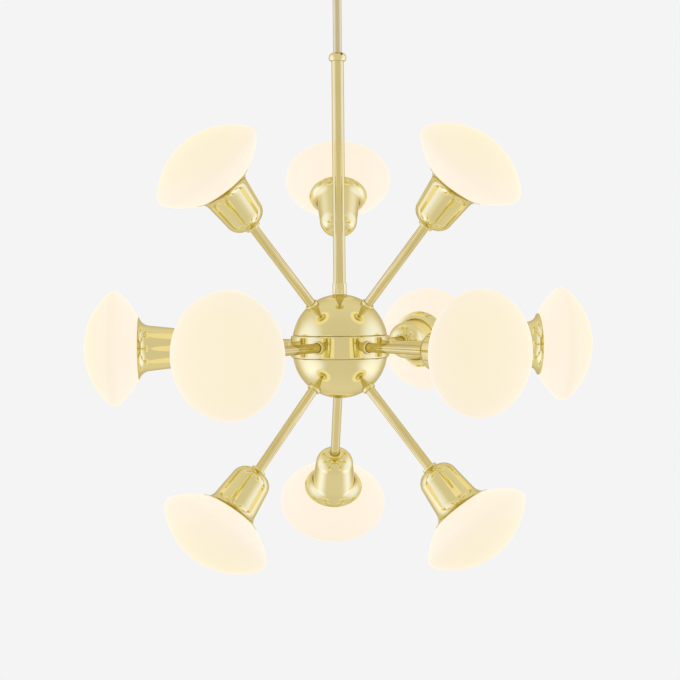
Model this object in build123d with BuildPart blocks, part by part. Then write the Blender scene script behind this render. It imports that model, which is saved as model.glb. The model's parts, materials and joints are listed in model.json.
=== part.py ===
from build123d import *
import math
import os

# Hanging chandelier: a ball hub on a telescopic stem carries twelve arms in
# three tiers, and each arm ends in a brass bell cup with an opal glass shade.
# Millimetres, +Z up. The origin is the centre of the ceiling bracket's top face.

# Fits
slip = 0.05
running_gap = 0.1
side_gap = 0.3

# Ceiling bracket and canopy
bracket_length = 104.0
bracket_width = 22.0
bracket_thickness = 2.5
bolt_spacing = 88.9
bolt_slot_length = 12.0
bolt_slot_width = 4.6
canopy_radius = 62.0
canopy_height = 24.0
canopy_wall = 1.5
canopy_corner = 8.0
canopy_nut_radius = 9.5
canopy_nut_height = 8.0
canopy_nut_edge = 2.0
bracket_nut_radius = 8.5
bracket_nut_height = 5.0

# Hang-straight swivel
bolt_radius = 5.0
bolt_bore = 3.0
bolt_head_radius = 7.0
bolt_head_height = 3.0
yoke_radius = 11.5
yoke_lip = 10.0
yoke_ear = 4.0
eye_radius = 7.0
eye_thickness = 14.0
pin_radius = 2.5
pin_drop = 10.0
pin_head_radius = 4.0
pin_head_height = 1.5
rod_head_radius = 8.5
rod_head_height = 14.0
rod_head_neck = 11.0
rod_seat_depth = 8.0

# Telescopic drop rod and stem
rod_radius = 5.0
rod_bore = 3.6
rod_engagement = 150.0
rod_stop_length = 10.0
rod_stop_spigot = 12.0
rod_stop_bore = 2.0
stem_radius = 6.9
stem_bore = 5.6
lock_height = 318.95
lock_collar_radius = 10.0
lock_collar_height = 9.0
lock_collar_foot = 8.8
lock_collar_top = 6.3
lock_collar_waist = 3.4
lock_stem_depth = 5.0
lock_screw_radius = 1.5
lock_screw_reach = 9.0
lock_screw_azimuth = -65.0
base_collar_radius = 8.0
base_collar_height = 12.4
base_collar_floor = 5.0
base_collar_edge = 1.0

# Ball hub: two domes, their centres a little above and below the middle of the band between them
hub_drop = 480.0
hub_radius = 53.4
hub_rise = 5.1
hub_wall = 2.0
band_proud = 1.8
band_height = 25.3
band_wall = 8.0
band_edge = 2.0
pipe_radius = 5.0
pipe_bore = 3.0
pipe_nut_radius = 9.0
foot_boss_radius = 12.0
foot_boss_height = 5.0
foot_screw_radius = 2.9
foot_screw_head = 6.0
foot_screw_length = 20.0

# Arms and their fittings
tier_tilt = 49.6
upper_turn = -3.5
arm_radius = 5.3
arm_spigot_radius = 4.5
arm_bore = 3.2
arm_inner_reach = 8.2
arm_collar_radius = 7.5
arm_collar_height = 3.5
arm_collar_root = 1.0
lock_nut_radius = 8.0
lock_nut_height = 4.0

# Opal glass shades
shade_reach = 251.7
shade_radius = 64.0
shade_half_depth = 34.0
shade_edge = 9.0
shade_wall = 3.0
shade_neck_radius = 20.0
shade_neck_length = 14.0
cavity_inner_share = 0.375
cavity_outer_share = 0.6875

# Bell cups, sockets and bulbs
rim_radius = 34.9
rim_lip = 0.6
flare_radius = 14.0
flare_foot_radius = 25.4
flare_length = 9.6
bell_length = 56.0
bell_back_radius = 22.3
dome_radius = 15.8
bell_bore_depth = 40.0
recess_radius = 14.0
arm_hole_depth = 8.0
bell_ring_radius = 8.5
bell_ring_height = 3.2
bell_ring_edge = 1.0
socket_radius = 9.5
socket_length = 22.0
socket_mouth = 3.0
bulb_base_radius = 6.0
bulb_base_length = 6.0
bulb_radius = 7.5
bulb_length = 47.0
bulb_tip = 5.0

# Heights down from the ceiling
canopy_floor = -canopy_height
canopy_nut_bottom = canopy_floor - canopy_nut_height
yoke_top = canopy_nut_bottom - side_gap
yoke_lip_bottom = yoke_top - yoke_lip
bolt_head_top = yoke_lip_bottom - running_gap
bolt_head_bottom = bolt_head_top - bolt_head_height
yoke_bottom = bolt_head_bottom - side_gap
pin_height = yoke_bottom - pin_drop
ear_gap = eye_thickness + 2 * side_gap
rod_head_top = pin_height - rod_head_neck
rod_head_bottom = rod_head_top - rod_head_height
rod_top = rod_head_bottom + rod_seat_depth
hub_height = -hub_drop
hub_centre = Vector(0, 0, hub_height)
upper_centre = Vector(0, 0, hub_height + hub_rise)
lower_centre = Vector(0, 0, hub_height - hub_rise)
lock_bottom = hub_height + lock_height
stem_top = lock_bottom + lock_stem_depth
stem_bottom = upper_centre.Z + hub_radius + base_collar_floor
rod_bottom = lock_bottom - rod_engagement
shell_inner = hub_radius - hub_wall
band_radius = hub_radius + band_proud
band_bore = band_radius - band_wall
arm_inner_end = band_bore - arm_inner_reach

# Shade profile: two shallow domes joined by a rounded edge that is tangent to both
edge_ring = shade_radius - shade_edge
dome_rise = shade_half_depth - shade_edge
shade_face_radius = (edge_ring**2 + shade_half_depth**2 - shade_edge**2) / (2 * dome_rise)
dome_offset = shade_face_radius - shade_half_depth
edge_share = shade_face_radius / (shade_face_radius - shade_edge)
edge_start_radius = edge_share * edge_ring
edge_start_height = dome_offset * (edge_share - 1)
seat_height = dome_offset - math.sqrt(shade_face_radius**2 - rim_radius**2)
cavity_face_radius = shade_face_radius - shade_wall
cavity_floor = seat_height + shade_wall
cavity_floor_radius = math.sqrt(cavity_face_radius**2 - (dome_offset - cavity_floor) ** 2)
cavity_edge = (shade_edge - shade_wall) * math.sqrt(0.5)
cavity_edge_radius = edge_ring + cavity_edge
cavity_inner_ring = cavity_inner_share * shade_radius
cavity_outer_ring = cavity_outer_share * shade_radius
neck_bore = shade_neck_radius - shade_wall
neck_end = seat_height - shade_neck_length

# Distances of the bell's faces from the arm's centre in the ball
rim_plane = shade_reach + seat_height - side_gap
bell_back = rim_plane - bell_length
bell_bore = shade_neck_radius + running_gap
arm_outer_end = bell_back + arm_hole_depth
socket_front = arm_outer_end + socket_length
bulb_base_back = socket_front - socket_mouth
bulb_back = bulb_base_back + bulb_base_length
bulb_front = bulb_back + bulb_length


class Station:
    """One arm's place on the hub: its name, its centre, its axis and the planes its pieces are drawn on."""

    def __init__(self, name, centre, azimuth, tilt):
        level, rise = math.radians(azimuth), math.radians(tilt)
        side = Vector(-math.sin(level), math.cos(level), 0)
        outward = Vector(
            math.cos(rise) * math.cos(level),
            math.cos(rise) * math.sin(level),
            math.sin(rise),
        )
        tilted = tilt != 0
        self.name = name
        self.centre = centre
        self.axis = Axis(centre, outward)
        self.across = Plane(centre, x_dir=side, z_dir=outward)
        self.along = Plane(centre, x_dir=side, z_dir=side.cross(outward))
        self.hub_face = hub_radius if tilted else band_radius
        self.hub_inside = shell_inner if tilted else band_bore


upper = [
    Station(f"upper_{i + 1}", upper_centre, 90 + upper_turn + 120 * i, tier_tilt) for i in range(3)
]
middle = [Station(f"middle_{i + 1}", hub_centre, 60 * i, 0) for i in range(6)]
lower = [Station(f"lower_{i + 1}", lower_centre, 90 + 120 * i, -tier_tilt) for i in range(3)]
tiers = {"upper": upper, "middle": middle, "lower": lower}
stations = upper + middle + lower


def write(piece, label):
    """Names a finished piece and writes it to its own file."""
    piece.label = label
    export_step(piece, f"parts/{label}.step")


def cavity_height(radius):
    """Height of the glass's inner face above its widest plane at a radius."""
    return math.sqrt(cavity_face_radius**2 - radius**2) - dome_offset


os.makedirs("parts", exist_ok=True)

# Ceiling bracket: a flat bar with two slots for the ceiling box's screws
with BuildPart() as mounting_bracket:
    with BuildSketch(Plane.XY):
        SlotOverall(bracket_length, bracket_width)
        with GridLocations(bolt_spacing, 0, 2, 1):
            SlotOverall(bolt_slot_length, bolt_slot_width, mode=Mode.SUBTRACT)
        Circle(bolt_radius + slip, mode=Mode.SUBTRACT)
    extrude(amount=-bracket_thickness)
write(mounting_bracket.part, "mounting_bracket")

# Hex nut that locks the swivel bolt under the bracket
with BuildPart() as bracket_nut:
    with BuildSketch(Plane.XY.offset(-bracket_thickness)):
        RegularPolygon(bracket_nut_radius, 6)
        Circle(bolt_radius + slip, mode=Mode.SUBTRACT)
    extrude(amount=-bracket_nut_height)
write(bracket_nut.part, "bracket_nut")

# Canopy: a spun cup, open at the ceiling
with BuildPart() as canopy:
    with BuildSketch(Plane.XZ):
        with BuildLine():
            inside = canopy_radius - canopy_wall
            inner_floor = canopy_floor + canopy_wall
            flat = canopy_radius - canopy_corner
            shoulder = canopy_floor + canopy_corner
            Line((canopy_radius, 0), (canopy_radius, shoulder))
            RadiusArc((canopy_radius, shoulder), (flat, canopy_floor), canopy_corner)
            Polyline(
                (flat, canopy_floor),
                (bolt_radius + slip, canopy_floor),
                (bolt_radius + slip, inner_floor),
                (flat, inner_floor),
            )
            RadiusArc((flat, inner_floor), (inside, shoulder), canopy_wall - canopy_corner)
            Polyline((inside, shoulder), (inside, 0), (canopy_radius, 0))
        make_face()
    revolve(axis=Axis.Z)
write(canopy.part, "canopy")

# Round nut that holds the canopy up
with BuildPart() as canopy_nut:
    with BuildSketch(Plane.XY.offset(canopy_floor)):
        Circle(canopy_nut_radius)
        Circle(bolt_radius + slip, mode=Mode.SUBTRACT)
    extrude(amount=-canopy_nut_height)
    rim = canopy_nut.faces().sort_by(Axis.Z)[0].edges().sort_by(SortBy.RADIUS)[-1]
    chamfer(rim, canopy_nut_edge)
write(canopy_nut.part, "canopy_nut")

# Hollow swivel bolt: its head carries the yoke and lets it turn
with BuildPart() as swivel_bolt:
    with BuildSketch(Plane.XY):
        Circle(bolt_radius)
    extrude(amount=bolt_head_top)
    with BuildSketch(Plane.XY.offset(bolt_head_top)):
        Circle(bolt_head_radius)
    extrude(amount=-bolt_head_height)
    with BuildSketch(Plane.XY):
        Circle(bolt_bore)
    extrude(amount=bolt_head_bottom, mode=Mode.SUBTRACT)
write(swivel_bolt.part, "swivel_bolt")

# Yoke: a collar on the bolt's head with two ears for the tilt pin
with BuildPart() as swivel_yoke:
    with BuildSketch(Plane.XY.offset(yoke_top)):
        Circle(yoke_radius)
    extrude(amount=yoke_bottom - yoke_top)
    with BuildSketch(Plane.YZ):
        with Locations((0, pin_height + pin_drop / 2)):
            Rectangle(2 * eye_radius, pin_drop)
        with Locations((0, pin_height)):
            Circle(eye_radius)
    extrude(amount=ear_gap / 2 + yoke_ear, both=True)
    with BuildSketch(Plane.XZ):
        with Locations((0, yoke_bottom)):
            Rectangle(ear_gap, 2 * (pin_drop + eye_radius), align=(Align.CENTER, Align.MAX))
    extrude(amount=yoke_radius, both=True, mode=Mode.SUBTRACT)
    with BuildSketch(Plane.XY.offset(yoke_top)):
        Circle(bolt_radius + running_gap)
    extrude(amount=-yoke_lip, mode=Mode.SUBTRACT)
    with BuildSketch(Plane.XY.offset(yoke_bottom)):
        Circle(ear_gap / 2)
    extrude(amount=yoke_lip_bottom - yoke_bottom, mode=Mode.SUBTRACT)
    with BuildSketch(Plane.YZ):
        with Locations((0, pin_height)):
            Circle(pin_radius + slip)
    extrude(amount=yoke_radius, both=True, mode=Mode.SUBTRACT)
write(swivel_yoke.part, "swivel_yoke")

# Tilt pin with a riveted head at each end
with BuildPart() as swivel_pin:
    ear_face = ear_gap / 2 + yoke_ear
    with BuildSketch(Plane.YZ):
        with Locations((0, pin_height)):
            Circle(pin_radius)
    extrude(amount=ear_face + pin_head_height, both=True)
    for side in (-1, 1):
        with BuildSketch(Plane.YZ.offset(side * ear_face)):
            with Locations((0, pin_height)):
                Circle(pin_head_radius)
        extrude(amount=side * pin_head_height)
write(swivel_pin.part, "swivel_pin")

# Rod head: the eye that tilts on the pin, with a socket for the drop rod
with BuildPart() as rod_head:
    with BuildSketch(Plane.YZ):
        with Locations((0, pin_height)):
            Circle(eye_radius)
            Rectangle(2 * eye_radius, rod_head_neck, align=(Align.CENTER, Align.MAX))
    extrude(amount=eye_thickness / 2, both=True)
    with BuildSketch(Plane.XY.offset(rod_head_top)):
        Circle(rod_head_radius)
    extrude(amount=-rod_head_height)
    with BuildSketch(Plane.XY.offset(rod_head_bottom)):
        Circle(rod_radius + slip)
    extrude(amount=rod_seat_depth, mode=Mode.SUBTRACT)
    with BuildSketch(Plane.YZ):
        with Locations((0, pin_height)):
            Circle(pin_radius + running_gap)
    extrude(amount=eye_thickness, both=True, mode=Mode.SUBTRACT)
write(rod_head.part, "rod_head")

# Drop rod: the slim tube that the stem slides on
with BuildPart() as drop_rod:
    with BuildSketch(Plane.XY.offset(rod_bottom)):
        Circle(rod_radius)
        Circle(rod_bore, mode=Mode.SUBTRACT)
    extrude(amount=rod_top - rod_bottom)
write(drop_rod.part, "drop_rod")

# Stop bush: plugs the rod's lower end and keeps the stem from dropping off it
with BuildPart() as rod_stop:
    with BuildSketch(Plane.XY.offset(rod_bottom)):
        Circle(stem_bore - running_gap)
    extrude(amount=-rod_stop_length)
    with BuildSketch(Plane.XY.offset(rod_bottom)):
        Circle(rod_bore - slip)
    extrude(amount=rod_stop_spigot)
    with BuildSketch(Plane.XY.offset(rod_bottom - rod_stop_length)):
        Circle(rod_stop_bore)
    extrude(amount=rod_stop_length + rod_stop_spigot, mode=Mode.SUBTRACT)
write(rod_stop.part, "rod_stop")

# Stem tube
with BuildPart() as stem_tube:
    with BuildSketch(Plane.XY.offset(stem_bottom)):
        Circle(stem_radius)
        Circle(stem_bore, mode=Mode.SUBTRACT)
    extrude(amount=stem_top - stem_bottom)
write(stem_tube.part, "stem_tube")

# Lock collar: a rounded cap on the stem, clamped on the rod by its screw
screw_turn = math.radians(lock_screw_azimuth)
screw_plane = Plane(
    (0, 0, stem_top + (lock_collar_height - lock_stem_depth) / 2),
    x_dir=(0, 0, 1),
    z_dir=(math.cos(screw_turn), math.sin(screw_turn), 0),
)
with BuildPart() as stem_lock_collar:
    with BuildSketch(Plane.XZ):
        with BuildLine():
            lock_top = lock_bottom + lock_collar_height
            lock_waist = lock_bottom + lock_collar_waist
            stem_fit = stem_radius + slip
            rod_fit = rod_radius + running_gap
            Polyline(
                (rod_fit, stem_top),
                (stem_fit, stem_top),
                (stem_fit, lock_bottom),
                (lock_collar_foot, lock_bottom),
            )
            ThreePointArc(
                (lock_collar_foot, lock_bottom),
                (lock_collar_radius, lock_waist),
                (lock_collar_top, lock_top),
            )
            Polyline((lock_collar_top, lock_top), (rod_fit, lock_top), (rod_fit, stem_top))
        make_face()
    revolve(axis=Axis.Z)
    with BuildSketch(screw_plane):
        Circle(lock_screw_radius + slip)
    extrude(amount=lock_collar_radius, mode=Mode.SUBTRACT)
write(stem_lock_collar.part, "stem_lock_collar")

# Set screw of the lock collar
with BuildPart() as lock_screw:
    with BuildSketch(screw_plane.offset(rod_radius + slip)):
        Circle(lock_screw_radius)
    extrude(amount=lock_screw_reach - rod_radius - slip)
write(lock_screw.part, "lock_screw")

# Base collar: seats the stem on the ball and takes the centre pipe's thread
with BuildPart() as stem_base_collar:
    with BuildSketch(Plane.XY.offset(upper_centre.Z)):
        Circle(base_collar_radius)
        Circle(pipe_radius + slip, mode=Mode.SUBTRACT)
    extrude(amount=hub_radius + base_collar_height)
    crown = stem_base_collar.faces().sort_by(Axis.Z)[-1].edges().sort_by(SortBy.RADIUS)[-1]
    fillet(crown, base_collar_edge)
    with BuildSketch(Plane.XY.offset(stem_bottom)):
        Circle(stem_radius + slip)
    extrude(amount=base_collar_height - base_collar_floor, mode=Mode.SUBTRACT)
    with Locations(upper_centre):
        Sphere(hub_radius, mode=Mode.SUBTRACT)
write(stem_base_collar.part, "stem_base_collar")


def half_shell(side, tier):
    """Makes one half of the ball, above (side 1) or below (side -1) the band, with its tier's arm holes."""
    centre = hub_centre + Vector(0, 0, side * hub_rise)
    seam = side * (band_height / 2 - hub_rise)
    outer_seam = math.sqrt(hub_radius**2 - seam**2)
    inner_seam = math.sqrt(shell_inner**2 - seam**2)
    with BuildPart() as shell:
        with BuildSketch(Plane.XZ.shift_origin(centre)):
            with BuildLine():
                RadiusArc((outer_seam, seam), (0, side * hub_radius), -side * hub_radius)
                Line((0, side * hub_radius), (0, side * shell_inner))
                RadiusArc((0, side * shell_inner), (inner_seam, seam), side * shell_inner)
                Line((inner_seam, seam), (outer_seam, seam))
            make_face()
        revolve(axis=Axis.Z)
        for station in tier:
            with BuildSketch(station.across):
                Circle(arm_radius + slip)
            extrude(amount=2 * hub_radius, mode=Mode.SUBTRACT)
    return shell.part


# Upper half of the ball, open at the top for the centre pipe
with BuildPart() as hub_upper_shell:
    add(half_shell(1, upper))
    with BuildSketch(Plane.XY.offset(hub_height)):
        Circle(pipe_radius + slip)
    extrude(amount=2 * hub_radius, mode=Mode.SUBTRACT)
write(hub_upper_shell.part, "hub_upper_shell")

# Lower half of the ball, with a boss and a countersink for the closing screw
head_depth = foot_screw_head - foot_screw_radius
head_plane = lower_centre.Z - math.sqrt(hub_radius**2 - foot_screw_head**2)
boss_top = lower_centre.Z - shell_inner + foot_boss_height
with BuildPart() as hub_lower_shell:
    add(half_shell(-1, lower))
    with BuildSketch(Plane.XY.offset(boss_top)):
        Circle(foot_boss_radius)
    extrude(amount=-foot_boss_height)
    with BuildSketch(Plane.XY.offset(head_plane - hub_wall)):
        Circle(foot_screw_head + slip)
    extrude(amount=hub_wall, mode=Mode.SUBTRACT)
    with BuildSketch(Plane.XY.offset(head_plane)):
        Circle(foot_screw_head + slip)
    extrude(amount=head_depth, taper=45, mode=Mode.SUBTRACT)
    with BuildSketch(Plane.XY.offset(head_plane)):
        Circle(foot_screw_radius + slip)
    extrude(amount=hub_radius, mode=Mode.SUBTRACT)
write(hub_lower_shell.part, "hub_lower_shell")

# Equator band that the middle arms screw into
with BuildPart() as hub_band:
    with BuildSketch(Plane.XY.offset(hub_height - band_height / 2)):
        Circle(band_radius)
        Circle(band_bore, mode=Mode.SUBTRACT)
    extrude(amount=band_height)
    outer_edges = hub_band.edges().filter_by(GeomType.CIRCLE).sort_by(SortBy.RADIUS)[-2:]
    fillet(outer_edges, band_edge)
    for station in middle:
        with BuildSketch(station.across):
            Circle(arm_radius + slip)
        extrude(amount=2 * band_radius, mode=Mode.SUBTRACT)
write(hub_band.part, "hub_band")

# Centre pipe: clamps both half shells on the band and screws into the stem's base
with BuildPart() as center_pipe:
    with BuildSketch(Plane.XY.offset(boss_top)):
        Circle(pipe_radius)
        Circle(pipe_bore, mode=Mode.SUBTRACT)
    extrude(amount=stem_bottom - boss_top)
write(center_pipe.part, "center_pipe")

# Countersunk screw that closes the ball from below
with BuildPart() as hub_bottom_screw:
    with BuildSketch(Plane.XY.offset(head_plane)):
        Circle(foot_screw_head)
    extrude(amount=head_depth, taper=45)
    with BuildSketch(Plane.XY.offset(head_plane)):
        Circle(foot_screw_radius)
    extrude(amount=foot_screw_length)
write(hub_bottom_screw.part, "hub_bottom_screw")

# Round collars where the arms leave the ball
with BuildPart() as arm_collars:
    for station in stations:
        with BuildSketch(station.across.offset(station.hub_face - arm_collar_root)):
            Circle(arm_collar_radius)
            Circle(arm_radius + slip, mode=Mode.SUBTRACT)
        extrude(amount=arm_collar_height + arm_collar_root)
    with Locations(upper_centre, lower_centre):
        Sphere(hub_radius, mode=Mode.SUBTRACT)
    with Locations(hub_centre):
        Cylinder(band_radius, band_height, mode=Mode.SUBTRACT)
write(arm_collars.part, "arm_collars")

# Lock nuts inside the ball: one on each arm and one on the centre pipe
with BuildPart() as hub_lock_nuts:
    for station in stations:
        nut_face = math.sqrt(station.hub_inside**2 - lock_nut_radius**2)
        with BuildSketch(station.across.offset(nut_face - slip)):
            RegularPolygon(lock_nut_radius, 6)
            Circle(arm_radius + slip, mode=Mode.SUBTRACT)
        extrude(amount=-lock_nut_height)
    pipe_nut_face = upper_centre.Z + math.sqrt(shell_inner**2 - pipe_nut_radius**2)
    with BuildSketch(Plane.XY.offset(pipe_nut_face - slip)):
        RegularPolygon(pipe_nut_radius, 6)
        Circle(pipe_radius + slip, mode=Mode.SUBTRACT)
    extrude(amount=-lock_nut_height)
write(hub_lock_nuts.part, "hub_lock_nuts")

# Arm tubes, each with a spigot that enters its bell
for station in stations:
    with BuildPart() as arm_tube:
        with BuildSketch(station.across.offset(arm_inner_end)):
            Circle(arm_radius)
        extrude(amount=bell_back - arm_inner_end)
        with BuildSketch(station.across.offset(bell_back)):
            Circle(arm_spigot_radius)
        extrude(amount=arm_outer_end - bell_back)
        with BuildSketch(station.across.offset(arm_inner_end)):
            Circle(arm_bore)
        extrude(amount=arm_outer_end - arm_inner_end, mode=Mode.SUBTRACT)
    write(arm_tube.part, f"arm_tube_{station.name}")

# Small rings where the arms enter the bells
with BuildPart() as bell_rings:
    for station in stations:
        with BuildSketch(station.across.offset(bell_back)):
            Circle(bell_ring_radius)
            Circle(arm_radius + slip, mode=Mode.SUBTRACT)
        extrude(amount=-bell_ring_height)
    outer_edges = bell_rings.edges().filter_by(GeomType.CIRCLE).group_by(SortBy.RADIUS)[-1]
    chamfer(outer_edges, bell_ring_edge)
write(bell_rings.part, "bell_rings")

# Bell cups: a flared rim, a tapered body and a domed back, bored out for the glass
for tier_name, tier in tiers.items():
    with BuildPart() as bell_cups:
        for station in tier:
            with BuildSketch(station.along):
                with BuildLine():
                    lip = rim_plane - rim_lip
                    flare_foot = rim_plane - flare_length
                    dome_start = bell_back + dome_radius
                    dome_end = bell_back_radius - dome_radius
                    bore_floor = rim_plane - bell_bore_depth
                    Line((rim_radius, rim_plane), (rim_radius, lip))
                    RadiusArc((rim_radius, lip), (flare_foot_radius, flare_foot), -flare_radius)
                    Line((flare_foot_radius, flare_foot), (bell_back_radius, dome_start))
                    RadiusArc((bell_back_radius, dome_start), (dome_end, bell_back), dome_radius)
                    Polyline(
                        (dome_end, bell_back),
                        (arm_spigot_radius + slip, bell_back),
                        (arm_spigot_radius + slip, arm_outer_end),
                        (recess_radius, arm_outer_end),
                        (recess_radius, bore_floor),
                        (bell_bore, bore_floor),
                        (bell_bore, rim_plane),
                        (rim_radius, rim_plane),
                    )
                make_face()
            revolve(axis=station.axis)
    write(bell_cups.part, f"bell_cups_{tier_name}")

# Lamp sockets on the arms' ends, inside the bells
with BuildPart() as lamp_sockets:
    for station in stations:
        with BuildSketch(station.across.offset(arm_outer_end)):
            Circle(socket_radius)
        extrude(amount=socket_length)
        with BuildSketch(station.across.offset(bulb_base_back)):
            Circle(bulb_base_radius + slip)
        extrude(amount=socket_mouth, mode=Mode.SUBTRACT)
write(lamp_sockets.part, "lamp_sockets")

# Capsule bulbs
with BuildPart() as lamp_bulbs:
    for station in stations:
        with BuildSketch(station.along):
            with BuildLine():
                tip_start = bulb_front - bulb_tip
                Polyline(
                    (0, bulb_front),
                    (0, bulb_base_back),
                    (bulb_base_radius, bulb_base_back),
                    (bulb_base_radius, bulb_back),
                    (bulb_radius, bulb_back),
                    (bulb_radius, tip_start),
                )
                RadiusArc((bulb_radius, tip_start), (bulb_radius - bulb_tip, bulb_front), -bulb_tip)
                Line((bulb_radius - bulb_tip, bulb_front), (0, bulb_front))
            make_face()
        revolve(axis=station.axis)
write(lamp_bulbs.part, "lamp_bulbs")

# Glass shades: hollow discus bodies, closed in front, with a neck that enters the bell
for station in stations:
    with BuildPart() as glass_shade:
        with BuildSketch(station.along.shift_origin(station.centre + station.axis.direction * shade_reach)):
            with BuildLine():
                front = (0, shade_half_depth)
                edge_front = (edge_start_radius, edge_start_height)
                edge_back = (edge_start_radius, -edge_start_height)
                seat = (rim_radius, seat_height)
                inner_height = cavity_height(cavity_inner_ring)
                outer_height = cavity_height(cavity_outer_ring)
                RadiusArc(front, edge_front, shade_face_radius)
                RadiusArc(edge_front, edge_back, shade_edge)
                RadiusArc(edge_back, seat, shade_face_radius)
                Polyline(
                    seat,
                    (shade_neck_radius, seat_height),
                    (shade_neck_radius, neck_end),
                    (neck_bore, neck_end),
                    (neck_bore, cavity_floor),
                    (cavity_floor_radius, cavity_floor),
                    (cavity_outer_ring, -outer_height),
                    (cavity_edge_radius, -cavity_edge),
                    (cavity_edge_radius, cavity_edge),
                    (cavity_outer_ring, outer_height),
                    (cavity_inner_ring, inner_height),
                    (0, cavity_height(0)),
                    front,
                )
            make_face()
        revolve(axis=station.axis)
    write(glass_shade.part, f"glass_shade_{station.name}")
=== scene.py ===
"""Looks of a multi arm chandelier in polished brass with opal glass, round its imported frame.

Metres, +Z up. The origin is the centre of the ceiling bracket's top face.
"""

import json
import logging
import math
from dataclasses import dataclass
from enum import Enum
from typing import Any, Iterable, Optional, Union

import bmesh
import bpy
from mathutils import Matrix, Vector

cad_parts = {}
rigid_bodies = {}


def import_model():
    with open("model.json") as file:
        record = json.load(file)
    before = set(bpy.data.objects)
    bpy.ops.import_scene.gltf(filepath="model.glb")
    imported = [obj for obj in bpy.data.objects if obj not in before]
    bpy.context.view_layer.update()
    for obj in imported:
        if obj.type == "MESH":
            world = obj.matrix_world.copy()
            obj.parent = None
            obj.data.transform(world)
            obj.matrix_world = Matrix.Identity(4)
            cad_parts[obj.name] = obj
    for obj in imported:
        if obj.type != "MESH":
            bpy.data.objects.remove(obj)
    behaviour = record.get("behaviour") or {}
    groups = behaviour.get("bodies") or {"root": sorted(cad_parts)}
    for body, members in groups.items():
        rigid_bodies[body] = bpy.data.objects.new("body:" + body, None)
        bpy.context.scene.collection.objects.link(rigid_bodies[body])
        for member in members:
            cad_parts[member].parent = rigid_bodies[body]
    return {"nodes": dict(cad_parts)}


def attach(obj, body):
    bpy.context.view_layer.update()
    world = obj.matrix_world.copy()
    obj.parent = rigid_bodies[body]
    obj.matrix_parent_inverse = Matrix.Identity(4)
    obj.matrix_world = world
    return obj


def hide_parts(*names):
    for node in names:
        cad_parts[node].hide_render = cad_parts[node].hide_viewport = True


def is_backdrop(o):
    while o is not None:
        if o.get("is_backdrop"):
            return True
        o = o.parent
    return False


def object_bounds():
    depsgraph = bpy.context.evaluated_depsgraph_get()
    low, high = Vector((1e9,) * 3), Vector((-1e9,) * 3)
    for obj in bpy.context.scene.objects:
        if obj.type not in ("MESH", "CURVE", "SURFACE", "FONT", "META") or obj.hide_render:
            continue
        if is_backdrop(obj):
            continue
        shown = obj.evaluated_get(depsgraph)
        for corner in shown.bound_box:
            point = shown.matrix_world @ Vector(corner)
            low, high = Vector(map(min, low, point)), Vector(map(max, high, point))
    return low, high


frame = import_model()
log = logging.getLogger("chandelier")

Colour = tuple[float, float, float]
HUB = Vector((0.0, 0.0, -0.480))
DOME_RISE = 0.0051
# Gap on the radius between a tube and what sits on it
SLIP = 0.00005
# Points closer than this are one point
WELD = 1e-6
# Edges that turn by more than these are rounded, or shaded as sharp
CORNER_ANGLE = math.radians(50.0)
SHARP_ANGLE = math.radians(40.0)


class Tier(Enum):
    """The three rings of arms, by their rise above the level in degrees."""

    UPPER = 49.6
    MIDDLE = 0.0
    LOWER = -49.6

    @property
    def label(self) -> str:
        """The tier's name as the frame writes it."""
        return self.name.lower()

    @property
    def start(self) -> float:
        """Azimuth of the tier's first arm in degrees; the upper dome is screwed on a little short."""
        return {Tier.UPPER: 86.5, Tier.MIDDLE: 0.0, Tier.LOWER: 90.0}[self]

    @property
    def centre(self) -> Vector:
        """The point that the tier's arms point away from: the middle of the ball or of its dome."""
        rise = {Tier.UPPER: DOME_RISE, Tier.MIDDLE: 0.0, Tier.LOWER: -DOME_RISE}[self]
        return HUB + Vector((0.0, 0.0, rise))

    @property
    def count(self) -> int:
        """How many arms the tier has."""
        return 6 if self is Tier.MIDDLE else 3

    def stations(self) -> list["Station"]:
        """The tier's arms in order."""
        return [Station(self, number + 1) for number in range(self.count)]


@dataclass(frozen=True)
class Station:
    """One arm's place on the ball.

    Args:
        tier: the ring of arms that it belongs to.
        number: its number in that ring, from 1.
    """

    tier: Tier
    number: int

    @property
    def name(self) -> str:
        """The station's name as the frame writes it."""
        return f"{self.tier.label}_{self.number}"

    def place(self) -> Matrix:
        """Turns a piece drawn round +Z at the origin into this arm's line from its tier's centre.

        Returns:
            The piece's matrix in the frame.
        """
        step = 360.0 / self.tier.count
        azimuth = math.radians(self.tier.start + step * (self.number - 1))
        lean = math.radians(90.0 - self.tier.value)
        turned = Matrix.Rotation(azimuth, 4, "Z") @ Matrix.Rotation(lean, 4, "Y")
        return Matrix.Translation(self.tier.centre) @ turned


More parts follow.
